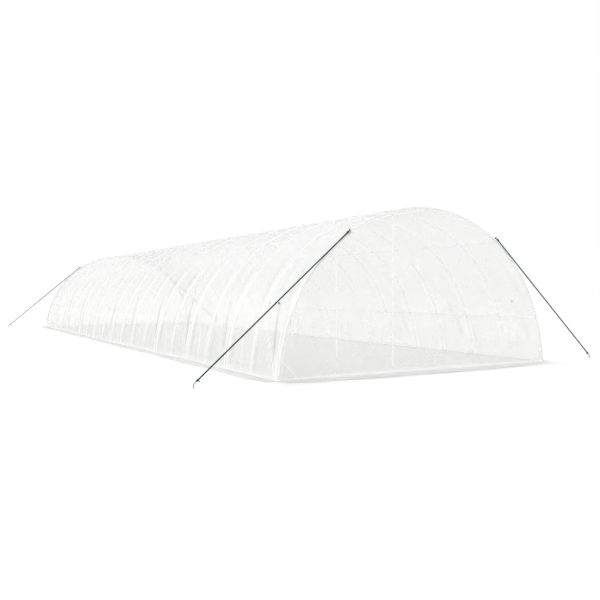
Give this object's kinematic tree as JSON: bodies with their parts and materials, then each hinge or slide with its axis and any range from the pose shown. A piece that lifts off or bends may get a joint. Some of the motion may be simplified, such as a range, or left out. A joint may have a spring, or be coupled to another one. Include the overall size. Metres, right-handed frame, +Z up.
{
  "type": "polytunnel greenhouse",
  "caption": "Long arched greenhouse: bent steel tube hoops under a clear film cover with flat ends, ground flaps and four guy ropes pegged down.",
  "frame": {"origin": "centre of the tunnel's plan, on the ground", "axes": "+X across the tunnel, +Y from the front end to the back end, +Z up"},
  "size_m": [7.3724, 16.8256, 2.4023],
  "materials": {
    "tube": "galvanised, matt",
    "film": "clear woven film, satin",
    "rope": "braided",
    "fitting": "zinc plated"
  },
  "bodies": {
    "root": {"hoop_01": "tube", "hoop_02": "tube", "hoop_03": "tube", "hoop_04": "tube", "hoop_05": "tube", "hoop_06": "tube", "hoop_07": "tube", "hoop_08": "tube", "hoop_09": "tube", "hoop_10": "tube", "hoop_11": "tube", "hoop_12": "tube", "hoop_13": "tube", "hoop_14": "tube", "hoop_15": "tube", "hoop_16": "tube", "hoop_17": "tube", "hoop_18": "tube", "hoop_19": "tube", "hoop_20": "tube", "hoop_21": "tube", "ridge_tube": "tube", "shoulder_purlins": "tube", "side_purlins": "tube", "base_rails": "tube", "end_sills": "tube", "centre_posts": "tube", "corner_braces": "tube", "cover_strip_1": "film", "cover_strip_2": "film", "cover_strip_3": "film", "cover_strip_4": "film", "cover_strip_5": "film", "cover_strip_6": "film", "front_sheet": "film", "back_sheet": "film", "side_flaps": "film", "end_flaps": "film", "guy_rope_front_left": "rope", "guy_rope_front_right": "rope", "guy_rope_back_left": "rope", "guy_rope_back_right": "rope", "pegs": "fitting", "rope_hangers": "fitting", "purlin_clamps": "fitting"}
  },
  "joints": []
}
